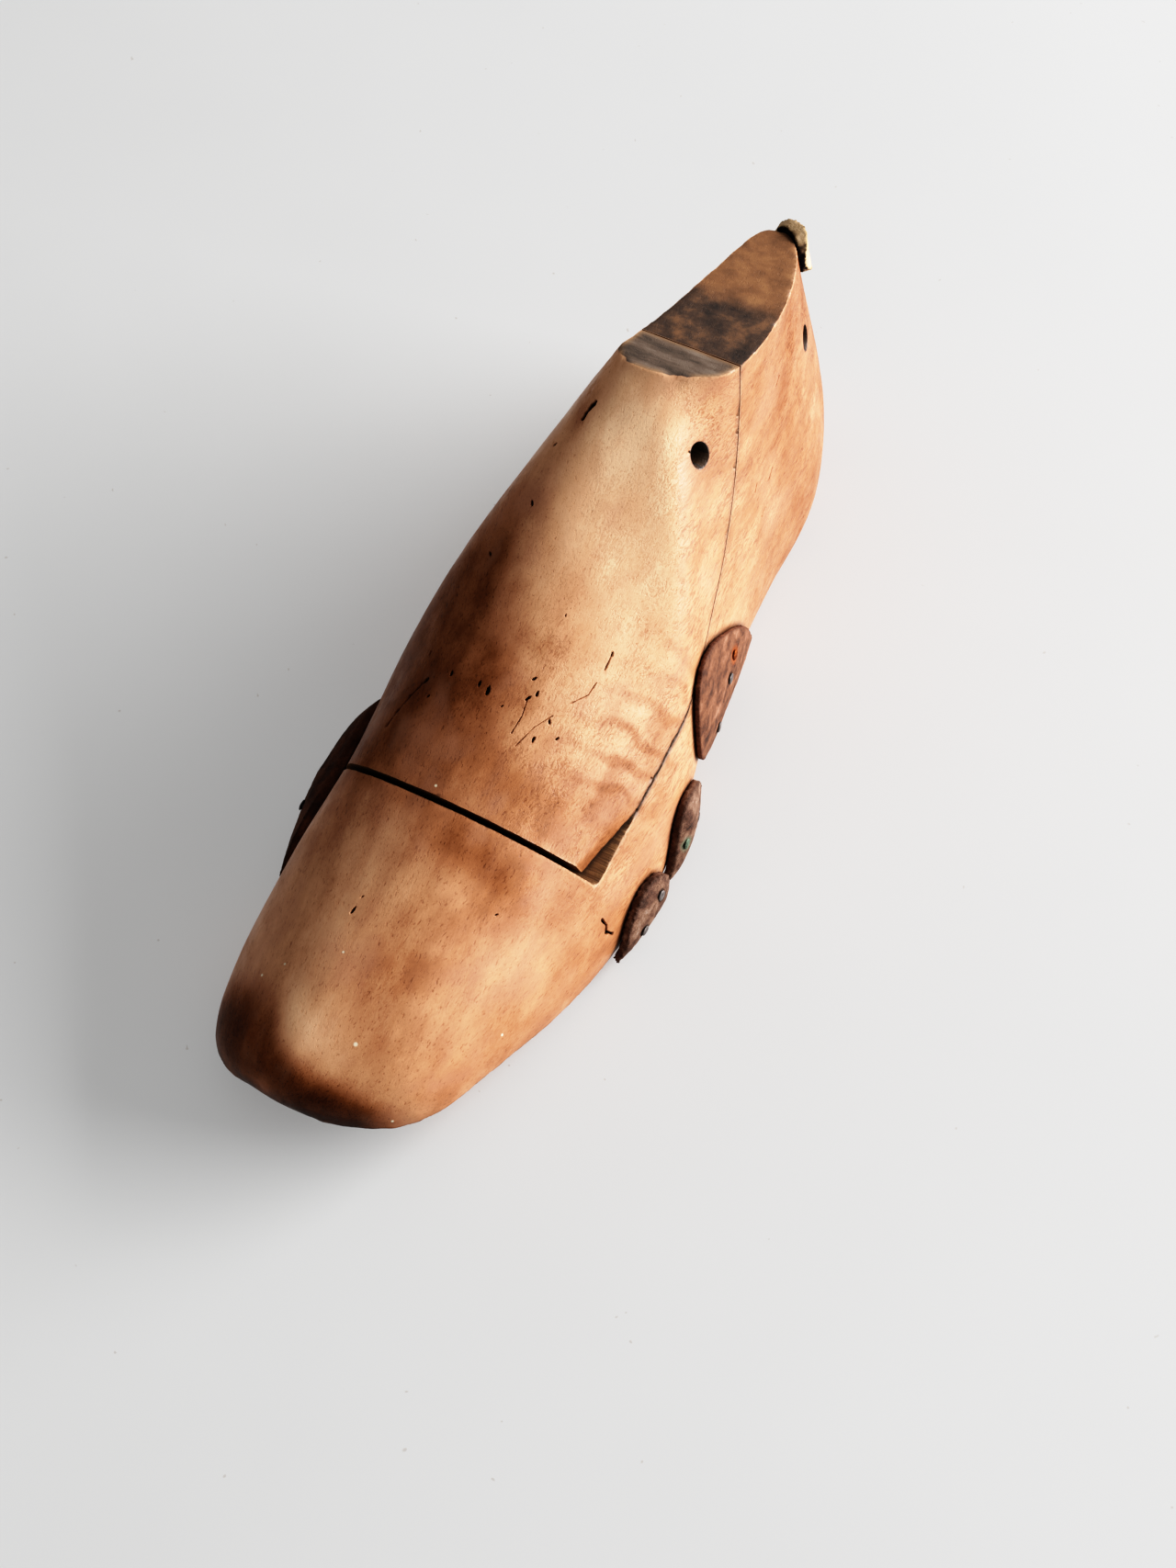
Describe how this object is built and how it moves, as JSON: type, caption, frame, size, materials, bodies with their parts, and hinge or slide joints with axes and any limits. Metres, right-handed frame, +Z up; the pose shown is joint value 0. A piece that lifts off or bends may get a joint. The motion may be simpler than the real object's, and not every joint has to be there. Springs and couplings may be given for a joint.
{
  "type": "shoe last",
  "caption": "Wooden shoe last for a left foot with a lift-off scoop instep block, tacked leather build-up pads and cross holes for a pulling hook.",
  "frame": {"origin": "centre of the heel seat's flat, on the plane the last stands on", "axes": "+X from heel to toe, +Y towards the outer (little-toe) side, +Z up"},
  "size_m": [0.2646, 0.0926, 0.0977],
  "materials": {
    "maple": "old waxed maple, satin, darkened by handling",
    "maple_block": "old waxed maple, satin, darkened by handling",
    "pin_steel": "turned steel, dulled",
    "plate_brass": "tarnished brass",
    "spring_steel": "blued spring wire",
    "screw_brass": "tarnished brass",
    "brown_leather": "rough red-brown sole leather, skived and stained",
    "dark_leather": "black-brown sole leather, waxed with age",
    "heel_leather": "tan fibrous cut edge with a black grain face",
    "tack_iron": "dark oxidised iron"
  },
  "bodies": {
    "last": {"last_body": "maple", "locating_pin": "pin_steel", "waist_pad": "brown_leather", "ball_pad_rear": "brown_leather", "ball_pad_front": "brown_leather", "bunion_pad": "dark_leather", "heel_pad": "heel_leather", "waist_pad_tack_1": "tack_iron", "waist_pad_tack_2": "tack_iron", "waist_pad_tack_3": "tack_iron", "ball_pad_rear_tack_1": "tack_iron", "ball_pad_rear_tack_2": "tack_iron", "ball_pad_front_tack_1": "tack_iron", "ball_pad_front_tack_2": "tack_iron", "bunion_pad_tack_1": "tack_iron", "bunion_pad_tack_2": "tack_iron", "bunion_pad_tack_3": "tack_iron", "heel_pad_tack_1": "tack_iron", "heel_pad_tack_2": "tack_iron"},
    "block": {"instep_block": "maple_block", "block_plate": "plate_brass", "catch_spring": "spring_steel", "plate_screw_rear": "screw_brass", "plate_screw_front": "screw_brass"}
  },
  "joints": [
    {"name": "block_lift", "type": "slide", "parent": "last", "child": "block", "axis": [0.2368, 0, 0.9715], "range_m": [0, 0.06], "deforming": ["catch_spring"]}
  ]
}
